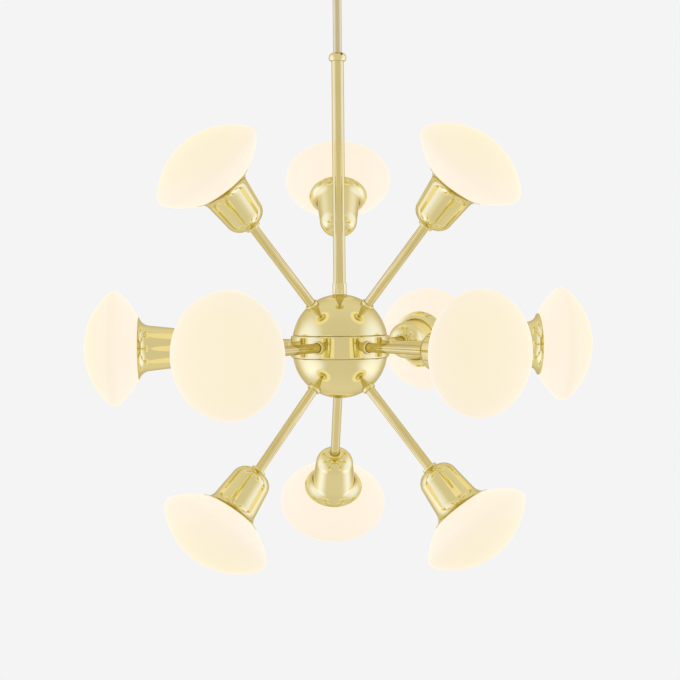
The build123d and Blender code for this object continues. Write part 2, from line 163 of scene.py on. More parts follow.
class Wire:
    """A node's output that takes part in Python sums, each of which adds a Math node."""

    def __init__(self, shader: "Shader", socket: bpy.types.NodeSocket) -> None:
        """Holds an output.

        Args:
            shader: the node tree's builder.
            socket: the output.
        """
        self.shader = shader
        self.socket = socket

    def math(self, operation: str, *values: Any, clamp: bool = False) -> "Wire":
        """Adds a Math node.

        Args:
            operation: the node's operation.
            values: numbers or outputs for its sockets.
            clamp: whether the result is held from 0 to 1.

        Returns:
            The node's output.
        """
        settings = {"operation": operation, "use_clamp": clamp}
        node = self.shader.node("ShaderNodeMath", settings, dict(enumerate(values)))
        return Wire(self.shader, node.outputs[0])

    def __add__(self, other: Any) -> "Wire":
        """Sum."""
        return self.math("ADD", self, other)

    __radd__ = __add__

    def __sub__(self, other: Any) -> "Wire":
        """Difference."""
        return self.math("SUBTRACT", self, other)

    def __rsub__(self, other: Any) -> "Wire":
        """Difference from a number."""
        return self.math("SUBTRACT", other, self)

    def __mul__(self, other: Any) -> "Wire":
        """Product."""
        return self.math("MULTIPLY", self, other)

    __rmul__ = __mul__

    def __truediv__(self, other: Any) -> "Wire":
        """Quotient."""
        return self.math("DIVIDE", self, other)

    def __abs__(self) -> "Wire":
        """Size without sign."""
        return self.math("ABSOLUTE", self)

    def ramp(self, low: float, high: float) -> "Wire":
        """Rises smoothly from 0 at low to 1 at high.

        Args:
            low: value where the rise starts.
            high: value where it ends.

        Returns:
            The eased share.
        """
        share = self.math("MULTIPLY", self - low, 1.0 / (high - low), clamp=True)
        return share * share * (3.0 - 2.0 * share)


class Shader:
    """Builds the nodes of one material or world."""

    def __init__(self, tree: bpy.types.NodeTree) -> None:
        """Empties the tree.

        Args:
            tree: the node tree to build in.
        """
        self.tree = tree
        tree.nodes.clear()

    def node(
        self,
        kind: str,
        settings: Optional[dict[str, Any]] = None,
        sockets: Optional[dict[Union[str, int], Any]] = None,
    ) -> bpy.types.Node:
        """Adds any node.

        Args:
            kind: the node's type.
            settings: its properties, set first.
            sockets: values, or outputs to link, by socket name or number.

        Returns:
            The node.
        """
        node = self.tree.nodes.new(kind)
        for key, value in (settings or {}).items():
            setattr(node, key, value)
        for key, value in (sockets or {}).items():
            source = value.socket if isinstance(value, Wire) else value
            if isinstance(source, bpy.types.NodeSocket):
                self.tree.links.new(source, node.inputs[key])
            else:
                node.inputs[key].default_value = source
        return node

    def wire(self, kind: str, output: Union[str, int], settings: Any = None, sockets: Any = None) -> Wire:
        """Adds a node and gives one of its outputs.

        Args:
            kind: the node's type.
            output: the output's name or number.
            settings: its properties.
            sockets: values or links of its sockets.

        Returns:
            The output.
        """
        return Wire(self, self.node(kind, settings, sockets).outputs[output])

    def noise(self, place: Wire, scale: float, detail: float = 2.0) -> Wire:
        """A cloudy pattern in space.

        Args:
            place: the coordinates.
            scale: repeats in a metre.
            detail: octaves.

        Returns:
            A value round 0.5.
        """
        sockets = {"Vector": place, "Scale": scale, "Detail": detail}
        return self.wire("ShaderNodeTexNoise", 0, None, sockets)

    def lines(self, attribute: str, scale: float) -> Wire:
        """Fine lines across an attribute, such as a lathe's tool leaves.

        Args:
            attribute: the mesh attribute that they are spaced along.
            scale: repeats in a metre.

        Returns:
            A value round 0.5.
        """
        along = self.wire("ShaderNodeAttribute", "Fac", {"attribute_name": attribute})
        settings = {"noise_dimensions": "1D"}
        return self.wire("ShaderNodeTexNoise", 0, settings, {"W": along, "Scale": scale, "Detail": 2.0})

    def blend(self, share: Wire, first: Any, second: Any) -> Wire:
        """Mixes two colours.

        Args:
            share: how much of the second.
            first: a colour or output.
            second: a colour or output.

        Returns:
            The mixed colour.
        """
        colours = [value if isinstance(value, Wire) else (*value, 1.0) for value in (first, second)]
        sockets = {0: share, 6: colours[0], 7: colours[1]}
        return self.wire("ShaderNodeMix", 2, {"data_type": "RGBA"}, sockets)

    def objects(self) -> Wire:
        """The piece's own coordinates."""
        return self.wire("ShaderNodeTexCoord", "Object")

    def bump(self, height: Wire, strength: float, distance: float) -> Wire:
        """Raises the surface.

        Args:
            height: the relief from 0 to 1.
            strength: how strongly it shows.
            distance: how high 1 is, in metres.

        Returns:
            The bent normal.
        """
        sockets = {"Strength": strength, "Distance": distance, "Height": height}
        return self.wire("ShaderNodeBump", 0, None, sockets)

    def surface(self, sockets: dict[Union[str, int], Any]) -> None:
        """Ends a material in one principled surface.

        Args:
            sockets: values or links of the surface.
        """
        skin = self.node("ShaderNodeBsdfPrincipled", None, sockets)
        self.node("ShaderNodeOutputMaterial", None, {"Surface": skin.outputs[0]})


class Finish:
    """A finish: a material that is made once and shared by the pieces that carry it."""

    name: str
    slot: str

    def paint(self, shader: Shader) -> None:
        """Builds the nodes.

        Args:
            shader: the material's node builder.
        """
        raise NotImplementedError

    def material(self) -> bpy.types.Material:
        """The material, made at its first use."""
        found = bpy.data.materials.get(self.name)
        if found is None:
            found = bpy.data.materials.new(self.name)
            found.use_nodes = True
            self.paint(Shader(found.node_tree))
        return found


@dataclass(frozen=True)
class Brass(Finish):
    """Turned brass, polished or brushed.

    Args:
        name: the material's name.
        slot: the record's material slot; not used.
        tone: its colour.
        deep: the warmer colour of its clouded places.
        edge: the tint of its reflection at a flat angle.
        roughness: the least roughness.
        haze: how much more the clouded places have.
        lathe: how strongly the lathe's lines show.
        pitch: lines in a metre.
    """

    CLOUD_SCALE = 22.0
    GRAIN_SCALE = 420.0
    CLOUD_BAND = (0.35, 0.75)
    CLOUD_SHARE = 0.5
    GRAIN_SHARE = 0.3
    LINE_SHARE = 0.2
    LINE_HEIGHT = 0.0001

    name: str
    slot: str
    tone: Colour
    deep: Colour
    edge: Colour
    roughness: float
    haze: float
    lathe: float
    pitch: float

    def paint(self, shader: Shader) -> None:
        """Builds the nodes.

        Args:
            shader: the material's node builder.
        """
        place = shader.objects()
        cloud = shader.noise(place, self.CLOUD_SCALE, detail=3.0)
        grain = shader.noise(place, self.GRAIN_SCALE)
        turned = shader.lines("along", self.pitch)
        shader.surface({
            "Base Color": shader.blend(cloud.ramp(*self.CLOUD_BAND), self.tone, self.deep),
            "Metallic": 1.0,
            "Specular Tint": (*self.edge, 1.0),
            "Roughness": self.roughness + self.haze * (
                cloud * self.CLOUD_SHARE + grain * self.GRAIN_SHARE + turned * self.LINE_SHARE
            ),
            "Normal": shader.bump(turned, self.lathe, self.LINE_HEIGHT),
        })


@dataclass(frozen=True)
class Steel(Finish):
    """Zinc plated steel with faint spangles.

    Args:
        name: the material's name.
        slot: the record's material slot; not used.
        tone: its colour.
        dull: the colour of its darker spangles.
    """

    SPANGLE_SCALE = 260.0
    GRAIN_SCALE = 700.0
    SPANGLE_SHARE = 0.7
    GRAIN_SHARE = 0.3
    ROUGHNESS = 0.3
    HAZE = 0.15

    name: str
    slot: str
    tone: Colour
    dull: Colour

    def paint(self, shader: Shader) -> None:
        """Builds the nodes.

        Args:
            shader: the material's node builder.
        """
        place = shader.objects()
        cells = {"Vector": place, "Scale": self.SPANGLE_SCALE}
        spangle = shader.wire("ShaderNodeTexVoronoi", "Color", None, cells)
        tone = shader.wire("ShaderNodeSeparateColor", 0, None, {"Color": spangle})
        grain = shader.noise(place, self.GRAIN_SCALE)
        share = tone * self.SPANGLE_SHARE + grain * self.GRAIN_SHARE
        shader.surface({
            "Base Color": shader.blend(share, self.tone, self.dull),
            "Metallic": 1.0,
            "Roughness": self.ROUGHNESS + self.HAZE * tone,
            "Normal": shader.bump(grain, strength=0.1, distance=0.0002),
        })


@dataclass(frozen=True)
class OpalGlass(Finish):
    """Lit opal glass with a satin skin: an even cream glow, yellower before the bulb and paler behind it.

    Args:
        name: the material's name.
        slot: the record's material slot; not used.
        body: the glass's own colour.
        glow: the light's colour through its front.
        pale: the light's colour through its back, round the bell.
        strength: the light's level.
        back: distance out along the arm where the paler back ends.
        front: distance where the yellower front begins.
    """

    CLOUD_SCALE = 16.0
    RIPPLE_SCALE = 55.0
    CLOUDING = 0.4
    SHADED = 0.96
    ROUGHNESS = 0.5
    HAZE = 0.1
    SHINE = 0.12

    name: str
    slot: str
    body: Colour
    glow: Colour
    pale: Colour
    strength: float
    back: float
    front: float

    def paint(self, shader: Shader) -> None:
        """Builds the nodes.

        Args:
            shader: the material's node builder.
        """
        place = shader.objects()
        along = shader.wire("ShaderNodeAttribute", "Fac", {"attribute_name": "along"})
        cloud = shader.noise(place, self.CLOUD_SCALE)
        ripple = shader.noise(place, self.RIPPLE_SCALE, detail=1.0)
        share = along.ramp(self.back, self.front) + (cloud - 0.5) * self.CLOUDING
        lit = shader.blend(share.math("ADD", share, 0.0, clamp=True), self.pale, self.glow)
        shaded = tuple(self.SHADED * part for part in self.body)
        shader.surface({
            "Base Color": shader.blend(cloud, self.body, shaded),
            "Roughness": self.ROUGHNESS + self.HAZE * ripple,
            "Specular IOR Level": self.SHINE,
            "Emission Color": lit,
            "Emission Strength": self.strength,
            "Normal": shader.bump(ripple, strength=0.04, distance=0.001),
        })


@dataclass(frozen=True)
class Ceramic(Finish):
    """Matt glazed ceramic or frosted bulb, plain but for a fine grain.

    Args:
        name: the material's name.
        slot: the record's material slot; not used.
        tone: its colour.
        shade: the colour of its grain.
        roughness: the least roughness.
        glow: the light's level.
    """

    GRAIN_SCALE = 900.0
    GRAIN_BAND = (0.3, 0.8)
    HAZE = 0.15

    name: str
    slot: str
    tone: Colour
    shade: Colour
    roughness: float
    glow: float

    def paint(self, shader: Shader) -> None:
        """Builds the nodes.

        Args:
            shader: the material's node builder.
        """
        grain = shader.noise(shader.objects(), self.GRAIN_SCALE, detail=3.0)
        tone = shader.blend(grain.ramp(*self.GRAIN_BAND), self.tone, self.shade)
        shader.surface({
            "Base Color": tone,
            "Roughness": self.roughness + self.HAZE * grain,
            "Emission Color": tone,
            "Emission Strength": self.glow,
            "Normal": shader.bump(grain, strength=0.15, distance=0.0002),
        })


POLISHED = Brass(
    "bright_brass", "polished_brass", tone=(0.86, 0.785, 0.375), deep=(0.85, 0.765, 0.35),
    edge=(0.70, 0.65, 0.52), roughness=0.03, haze=0.03, lathe=0.0006, pitch=900.0,
)
# Brass painted darker than the ball's, as painted shade: it stands for the dimmer surroundings that the thin
# arms and the stem reflect.
PAINTED_SHADE_BRASS = Brass(
    "drawn_brass", "polished_brass", tone=(0.79, 0.70, 0.32), deep=(0.775, 0.68, 0.30),
    edge=(0.66, 0.60, 0.46), roughness=0.03, haze=0.03, lathe=0.0004, pitch=700.0,
)
SATIN = Brass(
    "brushed_brass", "satin_brass", tone=(0.74, 0.66, 0.37), deep=(0.70, 0.62, 0.335),
    edge=(0.78, 0.74, 0.62), roughness=0.24, haze=0.10, lathe=0.10, pitch=5200.0,
)
STEEL = Steel("plated_steel", "zinc_steel", tone=(0.62, 0.62, 0.60), dull=(0.48, 0.49, 0.50))
DARK_STEEL = Steel("darkened_steel", "zinc_steel", tone=(0.36, 0.31, 0.19), dull=(0.28, 0.24, 0.14))
OPAL = OpalGlass(
    "lit_opal_glass", "opal_glass", body=(0.36, 0.345, 0.32), glow=(0.82, 0.735, 0.51),
    pale=(0.82, 0.735, 0.60), strength=1.0, back=0.238, front=0.280,
)
BULB = Ceramic(
    "frosted_bulb", "bulb_glass", tone=(0.90, 0.87, 0.78), shade=(0.84, 0.80, 0.68),
    roughness=0.35, glow=0.5,
)
SOCKET = Ceramic(
    "glazed_socket", "socket_ceramic", tone=(0.80, 0.79, 0.75), shade=(0.70, 0.69, 0.65),
    roughness=0.45, glow=0.0,
)


def points(items: Iterable[Any]) -> list[bmesh.types.BMVert]:
    """Picks the points out of what a mesh operator gives.

    Args:
        items: points, edges and faces.

    Returns:
        The points in order.
    """
    return [item for item in items if isinstance(item, bmesh.types.BMVert)]


class Outline:
    """Half the outline of a turned piece, drawn in the XZ plane with X as the radius."""

    def __init__(self, radius: float, height: float) -> None:
        """Starts the outline.

        Args:
            radius: the first point's distance from the axis.
            height: its height along the axis.
        """
        self.mesh = bmesh.new()
        self.first = self.mesh.verts.new((radius, 0.0, height))
        self.tip = self.first

    def line(self, *points: tuple[float, float]) -> "Outline":
        """Goes on in straight runs.

        Args:
            points: radius and height of each run's end.

        Returns:
            The outline.
        """
        for radius, height in points:
            self.tip = bmesh.ops.extrude_vert_indiv(self.mesh, verts=[self.tip])["verts"][0]
            self.tip.co = (radius, 0.0, height)
        return self

    def arc(self, centre: tuple[float, float], end: tuple[float, float], steps: int) -> "Outline":
        """Goes on round a centre, the shorter way.

        Args:
            centre: radius and height of the arc's centre.
            end: radius and height that it turns towards.
            steps: straight pieces in it.

        Returns:
            The outline.
        """
        hub = Vector(centre)
        start = Vector((self.tip.co.x, self.tip.co.z)) - hub
        angle = -start.angle_signed(Vector(end) - hub)
        grown = bmesh.ops.spin(
            self.mesh, geom=[self.tip], cent=(hub.x, 0.0, hub.y), axis=(0.0, -1.0, 0.0),
            angle=angle, steps=steps,
        )
        self.tip = points(grown["geom_last"])[0]
        return self

    def turn(self, steps: int, bevel: float = 0.0, segments: int = 3) -> bmesh.types.BMesh:
        """Closes the outline, turns it round the axis and rounds its sharp corners.

        Args:
            steps: faces round the axis.
            bevel: width of the rounding, or 0 for none.
            segments: faces across a rounding.

        Returns:
            The closed mesh, with each point's height kept as an attribute.
        """
        mesh = self.mesh
        if self.first.co.x > WELD or self.tip.co.x > WELD:
            mesh.edges.new((self.tip, self.first))
        bmesh.ops.spin(
            mesh, geom=mesh.verts[:] + mesh.edges[:], cent=(0.0, 0.0, 0.0), axis=(0.0, 0.0, 1.0),
            angle=2.0 * math.pi, steps=steps, use_merge=True,
        )
        bmesh.ops.remove_doubles(mesh, verts=mesh.verts[:], dist=WELD)
        bmesh.ops.recalc_face_normals(mesh, faces=mesh.faces[:])
        if bevel:
            corners = [
                edge for edge in mesh.edges
                if edge.is_manifold and edge.calc_face_angle() > CORNER_ANGLE
            ]
            bmesh.ops.bevel(
                mesh, geom=corners, offset=bevel, segments=segments, profile=0.5,
                affect="EDGES", material=-1, clamp_overlap=True,
            )
        return marked(mesh)


def marked(mesh: bmesh.types.BMesh) -> bmesh.types.BMesh:
    """Keeps each point's height as an attribute, before the piece is placed.

    Args:
        mesh: a piece drawn round +Z.

    Returns:
        The same mesh.
    """
    along = mesh.verts.layers.float.new("along")
    for vert in mesh.verts:
        vert[along] = vert.co.z
    return mesh


def placed(mesh: bmesh.types.BMesh, places: Iterable[Matrix]) -> bmesh.types.BMesh:
    """Copies a piece to each of several places.

    Args:
        mesh: the piece as drawn, which becomes the first copy.
        places: the matrix of each copy.

    Returns:
        The mesh with all the copies.
    """
    first, *others = places
    source = mesh.verts[:] + mesh.edges[:] + mesh.faces[:]
    own = mesh.verts[:]
    for place in others:
        copy = bmesh.ops.duplicate(mesh, geom=source)["geom"]
        bmesh.ops.transform(mesh, matrix=place, verts=points(copy))
    bmesh.ops.transform(mesh, matrix=first, verts=own)
    return mesh


def recessed(
    mesh: bmesh.types.BMesh, end: bmesh.types.BMFace, margin: float, depth: float,
) -> bmesh.types.BMesh:
    """Sinks a round recess into the end face of a screw.

    Args:
        mesh: the screw, drawn along Z.
        end: its end face.
        margin: width of the rim that stays round the recess.
        depth: how far along Z the recess's floor lies from the end face.

    Returns:
        The same mesh.
    """
    bmesh.ops.inset_region(mesh, faces=[end], thickness=margin)
    pushed = bmesh.ops.extrude_face_region(mesh, geom=[end])["geom"]
    bmesh.ops.delete(mesh, geom=[end], context="FACES_KEEP_BOUNDARY")
    bmesh.ops.translate(mesh, vec=(0.0, 0.0, depth), verts=points(pushed))
    bmesh.ops.recalc_face_normals(mesh, faces=mesh.faces[:])
    return marked(mesh)


def piece(
    name: str,
    mesh: bmesh.types.BMesh,
    finish: Finish,
    body: str,
    stands_for: Iterable[str] = (),
) -> bpy.types.Object:
    """Makes a finished object of a mesh and lets it ride on a body.

    Args:
        name: the object's name.
        mesh: its mesh, in the frame.
        finish: what it is made of.
        body: the body that it moves with.
        stands_for: the frame's nodes that it takes the place of.

    Returns:
        The object.
    """
    data = bpy.data.meshes.new(name)
    for face in mesh.faces:
        face.smooth = True
    mesh.to_mesh(data)
    mesh.free()
    data.set_sharp_from_angle(angle=SHARP_ANGLE)
    data.materials.append(finish.material())
    made = bpy.data.objects.new(name, data)
    bpy.context.scene.collection.objects.link(made)
    even = made.modifiers.new("even_normals", "WEIGHTED_NORMAL")
    even.keep_sharp = True
    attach(made, body)
    nodes = list(stands_for)
    if nodes:
        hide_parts(*nodes)
    log.info("%s: %d faces on %s", name, len(data.polygons), body)
    return made


def dress(finish: Finish, *nodes: str) -> None:
    """Gives a finish to nodes of the frame that stay as they are.

    Args:
        finish: what they are made of.
        nodes: their names.
    """
    for name in nodes:
        node = frame["nodes"][name]
        node.data.materials.clear()
        node.data.materials.append(finish.material())
        log.info("%s: dressed in %s", name, finish.name)


@dataclass
class CeilingMount:
    """The canopy with its round nut, and the bracket and bolt that stay as the frame has them."""

    radius: float = 0.062
    height: float = 0.024
    wall: float = 0.0015
    corner: float = 0.008
    bore: float = 0.00505
    nut_radius: float = 0.0095
    nut_height: float = 0.008
    nut_edge: float = 0.002
    cup_ease: float = 0.0004
    nut_ease: float = 0.0002

    def build(self) -> None:
        """Builds the canopy and its nut."""
        inside = self.radius - self.wall
        flat = self.radius - self.corner
        shoulder = self.corner - self.height
        inner_floor = self.wall - self.height
        cup = Outline(self.bore, inner_floor).line((self.bore, -self.height), (flat, -self.height))
        cup.arc((flat, shoulder), (self.radius, shoulder), steps=10).line((self.radius, 0.0), (inside, 0.0))
        cup.line((inside, shoulder)).arc((flat, shoulder), (flat, inner_floor), steps=8)
        mesh = cup.turn(steps=128, bevel=self.cup_ease, segments=2)
        piece("canopy_cup", mesh, POLISHED, "ceiling_mount", ["canopy"])
        low = -self.height - self.nut_height
        nut_flat, nut_shoulder = self.nut_radius - self.nut_edge, low + self.nut_edge
        nut = Outline(self.bore, -self.height).line((self.bore, low), (nut_flat, low))
        nut.arc((nut_flat, nut_shoulder), (self.nut_radius, nut_shoulder), steps=6)
        nut.line((self.nut_radius, -self.height))
        mesh = nut.turn(steps=64, bevel=self.nut_ease, segments=2)
        piece("canopy_round_nut", mesh, POLISHED, "ceiling_mount", ["canopy_nut"])

    def dress(self) -> None:
        """Dresses the plain fasteners and the swivel."""
        dress(STEEL, "mounting_bracket", "bracket_nut", "swivel_bolt")
        dress(POLISHED, "swivel_yoke", "swivel_pin", "rod_head")


@dataclass
class Stem:
    """The slim rod, the stem that slides on it, and the collars at the stem's two ends."""

    rod_radius: float = 0.005
    rod_bore: float = 0.0036
    rod_top: float = -0.0727
    rod_bottom: float = -0.31105
    radius: float = 0.0069
    bore: float = 0.0056
    top: float = -0.15605
    bottom: float = -0.4165
    lock_bottom: float = -0.16105
    lock_height: float = 0.009
    screw_radius: float = 0.0015
    screw_azimuth: float = -65.0
    screw_reach: float = 0.009
    screw_rim: float = 0.00063
    screw_recess: float = 0.0015
    collar_radius: float = 0.008
    collar_top: float = -0.4091
    collar_lift: float = 0.0001
    collar_ease: float = 0.0005
    ease: float = 0.0003
    dome_radius: float = 0.0534
    dome_centre: float = -0.4749

    def tube(self, radius: float, bore: float, low: float, high: float, steps: int) -> bmesh.types.BMesh:
        """A plain tube with eased ends.

        Args:
            radius: outer radius.
            bore: inner radius.
            low: height of its lower end.
            high: height of its upper end.
            steps: faces round it.

        Returns:
            The mesh.
        """
        shape = Outline(radius, low).line((radius, high), (bore, high), (bore, low))
        return shape.turn(steps, bevel=self.ease, segments=2)

    def build(self) -> None:
        """Builds the rod, the stem, its set screw and the collar on the ball."""
        rod = self.tube(self.rod_radius, self.rod_bore, self.rod_bottom, self.rod_top, steps=64)
        piece("slim_rod", rod, SATIN, "rod", ["drop_rod"])
        stem = self.tube(self.radius, self.bore, self.bottom, self.top, steps=96)
        # The stem wears the brass painted darker as painted shade.
        piece("stem", stem, PAINTED_SHADE_BRASS, "hub_frame", ["stem_tube"])
        self.lock_screw()
        self.base_collar()

    def lock_screw(self) -> None:
        """Builds the set screw with its recess, half way up from the stem's end to the cap's top."""
        mesh = bmesh.new()
        inner = self.rod_radius + SLIP
        length = self.screw_reach - inner
        bmesh.ops.create_cone(
            mesh, cap_ends=True, segments=24, radius1=self.screw_radius, radius2=self.screw_radius,
            depth=length,
        )
        bmesh.ops.translate(mesh, vec=(0.0, 0.0, inner + length / 2.0), verts=mesh.verts[:])
        end = max(mesh.faces, key=lambda face: face.calc_center_median().z)
        recessed(mesh, end, self.screw_rim, -self.screw_recess)
        height = (self.top + self.lock_bottom + self.lock_height) / 2.0
        azimuth = math.radians(self.screw_azimuth)
        spin = Matrix.Rotation(azimuth, 4, "Z") @ Matrix.Rotation(math.pi / 2.0, 4, "Y")
        placed(mesh, [Matrix.Translation((0.0, 0.0, height)) @ spin])
        piece("lock_cap_screw", mesh, DARK_STEEL, "hub_frame", ["lock_screw"])

    def base_collar(self) -> None:
        """Builds the collar that seats the stem on the ball."""
        low = self.dome_centre + math.sqrt(self.dome_radius**2 - self.collar_radius**2)
        fit = self.radius + SLIP
        ring = Outline(fit, self.collar_top).line((self.collar_radius, self.collar_top))
        ring.line((self.collar_radius, low), (fit, low + self.collar_lift))
        mesh = ring.turn(steps=96, bevel=self.collar_ease, segments=4)
        piece("stem_base", mesh, POLISHED, "hub_frame", ["stem_base_collar"])

    def dress(self) -> None:
        """Dresses the rounded cap that holds the stem on the rod."""
        dress(POLISHED, "stem_lock_collar")


@dataclass
class BallHub:
    """The two domes of the ball, the band between them and the closing screw."""

    radius: float = 0.0534
    rise: float = DOME_RISE
    wall: float = 0.002
    band_radius: float = 0.0552
    band_height: float = 0.0253
    band_bore: float = 0.0472
    band_edge: float = 0.002
    seam: float = 0.00025
    pipe_bore: float = 0.00505
    screw_head: float = 0.006
    screw_tip: float = 0.003
    screw_length: float = 0.003
    recess_radius: float = 0.0026
    recess_depth: float = 0.0016
    ease: float = 0.0004

    def half(self, side: float, bore: float) -> bmesh.types.BMesh:
        """One dome of the ball, from the band to its pole.

        Args:
            side: 1 for the upper half, -1 for the lower.
            bore: radius of the hole at its pole.

        Returns:
            The mesh in the frame.
        """
        inner = self.radius - self.wall
        start = self.band_height / 2.0 - self.rise + self.seam
        shape = Outline(math.sqrt(self.radius**2 - start**2), start)
        shape.arc((0.0, 0.0), (bore, math.sqrt(self.radius**2 - bore**2)), steps=48)
        shape.line((bore, math.sqrt(inner**2 - bore**2)))
        shape.arc((0.0, 0.0), (math.sqrt(inner**2 - start**2), start), steps=24)
        mesh = shape.turn(steps=160, bevel=self.ease, segments=2)
        bmesh.ops.translate(mesh, vec=(0.0, 0.0, self.rise), verts=mesh.verts[:])
        if side < 0.0:
            bmesh.ops.scale(mesh, vec=(1.0, 1.0, -1.0), verts=mesh.verts[:])
            bmesh.ops.reverse_faces(mesh, faces=mesh.faces[:])
        return placed(mesh, [Matrix.Translation(HUB)])

    def build(self) -> None:
        """Builds the shells, the band and the screw."""
        upper = self.half(1.0, self.pipe_bore)
        piece("ball_upper", upper, POLISHED, "hub_frame", ["hub_upper_shell"])
        lower = self.half(-1.0, self.screw_head + SLIP)
        piece("ball_lower", lower, POLISHED, "hub_frame", ["hub_lower_shell"])
        high = self.band_height / 2.0
        flat, shoulder = self.band_radius - self.band_edge, high - self.band_edge
        band = Outline(self.band_bore, -high).line((flat, -high))
        band.arc((flat, -shoulder), (self.band_radius, -shoulder), steps=8)
        band.line((self.band_radius, shoulder))
        band.arc((flat, shoulder), (flat, high), steps=8).line((self.band_bore, high))
        mesh = placed(band.turn(steps=160), [Matrix.Translation(HUB)])
        piece("ball_band", mesh, POLISHED, "hub_frame", ["hub_band"])
        self.foot_screw()

    def foot_screw(self) -> None:
        """Builds the countersunk screw with its recess under the ball."""
        face = self.rise + math.sqrt(self.radius**2 - self.screw_head**2)
        mesh = bmesh.new()
        bmesh.ops.create_cone(
            mesh, cap_ends=True, segments=48, radius1=self.screw_head, radius2=self.screw_tip,
            depth=self.screw_length,
        )
        end = min(mesh.faces, key=lambda item: item.calc_center_median().z)
        recessed(mesh, end, self.screw_head - self.recess_radius, self.recess_depth)
        drop = Vector((0.0, 0.0, self.screw_length / 2.0 - face))
        placed(mesh, [Matrix.Translation(HUB + drop)])
        piece("ball_screw", mesh, POLISHED, "hub_frame", ["hub_bottom_screw"])

    def dress(self) -> None:
        """Dresses the fasteners inside the ball and the stem."""
        dress(STEEL, "center_pipe", "hub_lock_nuts", "rod_stop")


@dataclass
class Arms:
    """The twelve arm tubes with the collars at the ball and the rings at the bells."""

    stations: list[Station]
    radius: float = 0.0053
    spigot: float = 0.0045
    bore: float = 0.0032
    inner_end: float = 0.039
    outer_end: float = 0.1772
    ball_face: float = 0.0534
    band_face: float = 0.0552
    collar_radius: float = 0.0075
    collar_root: float = 0.001
    collar_height: float = 0.0035
    ring_radius: float = 0.0085
    ring_height: float = 0.0032
    collar_ease: float = 0.001
    ring_ease: float = 0.0009
    bell_back: float = 0.1692

    def build(self) -> None:
        """Builds the tubes, collars and rings."""
        places = [station.place() for station in self.stations]
        back = self.bell_back
        tube = Outline(self.radius, self.inner_end).line((self.radius, back), (self.spigot, back))
        tube.line((self.spigot, self.outer_end), (self.bore, self.outer_end), (self.bore, self.inner_end))
        nodes = [f"arm_tube_{station.name}" for station in self.stations]
        # The arm tubes wear the brass painted darker as painted shade.
        piece("arm_tubes", placed(tube.turn(steps=56), places), PAINTED_SHADE_BRASS, "hub_frame", nodes)
        rings = self.ring(self.ring_radius, back - self.ring_height, back, self.ring_ease)
        piece("arm_end_rings", placed(rings, places), POLISHED, "hub_frame", ["bell_rings"])
        for tier in Tier:
            face = self.band_face if tier is Tier.MIDDLE else self.ball_face
            low, high = face - self.collar_root, face + self.collar_height
            collar = self.ring(self.collar_radius, low, high, self.collar_ease)
            seats = [station.place() for station in self.stations if station.tier is tier]
            piece(f"arm_collars_{tier.label}", placed(collar, seats), POLISHED, "hub_frame", ["arm_collars"])

    def ring(self, radius: float, low: float, high: float, ease: float) -> bmesh.types.BMesh:
        """A rounded ring on an arm.

        Args:
            radius: its outer radius.
            low: distance out along the arm where it begins.
            high: distance where it ends.
            ease: width of its rounding.

        Returns:
            The mesh along +Z.
        """
        fit = self.radius + SLIP
        shape = Outline(fit, low).line((radius, low), (radius, high), (fit, high))
        return shape.turn(steps=64, bevel=ease, segments=5)


@dataclass
class BellCups:
    """The flared bell cups that hold the glass."""

    stations: list[Station]
    rim_radius: float = 0.0349
    rim_plane: float = 0.2252
    lip: float = 0.0006
    flare_radius: float = 0.01327
    flare_foot: float = 0.0254
    flare_length: float = 0.0119
    length: float = 0.056
    back_radius: float = 0.0223
    dome: float = 0.0158
    bore: float = 0.0201
    bore_depth: float = 0.040
    recess: float = 0.014
    arm_fit: float = 0.00455
    arm_depth: float = 0.008
    ease: float = 0.00025

    def cup(self) -> bmesh.types.BMesh:
        """One bell, from its rim over the flare and the tapered body to the domed back.

        Returns:
            The mesh along +Z.
        """
        back = self.rim_plane - self.length
        rim, lip = (self.rim_radius, self.rim_plane), (self.rim_radius, self.rim_plane - self.lip)
        foot = (self.flare_foot, self.rim_plane - self.flare_length)
        dome_start, dome_end = (self.back_radius, back + self.dome), (self.back_radius - self.dome, back)
        arm_floor, bore_floor = back + self.arm_depth, self.rim_plane - self.bore_depth
        shape = Outline(*rim).line(lip)
        shape.arc(self.flare_centre(lip, foot), foot, steps=20)
        shape.line(dome_start).arc((dome_end[0], dome_start[1]), dome_end, steps=20)
        shape.line(
            (self.arm_fit, back), (self.arm_fit, arm_floor), (self.recess, arm_floor),
            (self.recess, bore_floor), (self.bore, bore_floor), (self.bore, self.rim_plane),
        )
        return shape.turn(steps=112, bevel=self.ease, segments=2)

    def flare_centre(self, start: tuple[float, float], end: tuple[float, float]) -> tuple[float, float]:
        """Centre of the flare's arc, outside the bell.

        Args:
            start: radius and height of its upper end.
            end: radius and height of its foot.

        Returns:
            The centre's radius and height.
        """
        first = Vector(start)
        half = (Vector(end) - first) / 2.0
        rise = math.sqrt(self.flare_radius**2 - half.length_squared)
        side = Vector((-half.y, half.x)).normalized()
        centre = first + half + side * rise
        return centre.x, centre.y

    def build(self) -> None:
        """Builds the bells of each tier."""
        for tier in Tier:
            places = [station.place() for station in self.stations if station.tier is tier]
            mesh = placed(self.cup(), places)
            piece(f"bells_{tier.label}", mesh, POLISHED, "hub_frame", [f"bell_cups_{tier.label}"])

    def dress(self) -> None:
        """Dresses the sockets and bulbs inside the bells."""
        dress(SOCKET, "lamp_sockets")
        dress(BULB, "lamp_bulbs")


